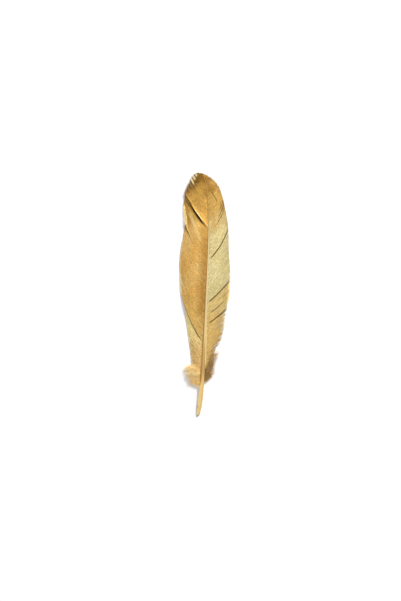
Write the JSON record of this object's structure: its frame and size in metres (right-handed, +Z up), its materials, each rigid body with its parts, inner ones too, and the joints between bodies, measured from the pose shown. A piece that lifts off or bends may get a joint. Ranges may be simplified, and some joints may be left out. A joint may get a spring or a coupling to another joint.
{
  "type": "goose quill feather",
  "caption": "Gold-painted goose wing feather with a bare quill, a tapering shaft, two vanes and loose down, lying on a flat surface.",
  "frame": {"origin": "centre of the bounding box's bottom face, on the surface that the feather lies on", "axes": "+Y from the quill end to the tip, +Z up away from the surface, +X to the right as seen from above"},
  "size_m": [0.0372, 0.1749, 0.0069],
  "materials": {
    "gold_feather": "gold metallic paint with a fine grain over barbs and horn; paler on the right vane, darker bronze at the tip"
  },
  "bodies": {
    "root": {"goose_feather": "gold_feather"}
  },
  "joints": []
}
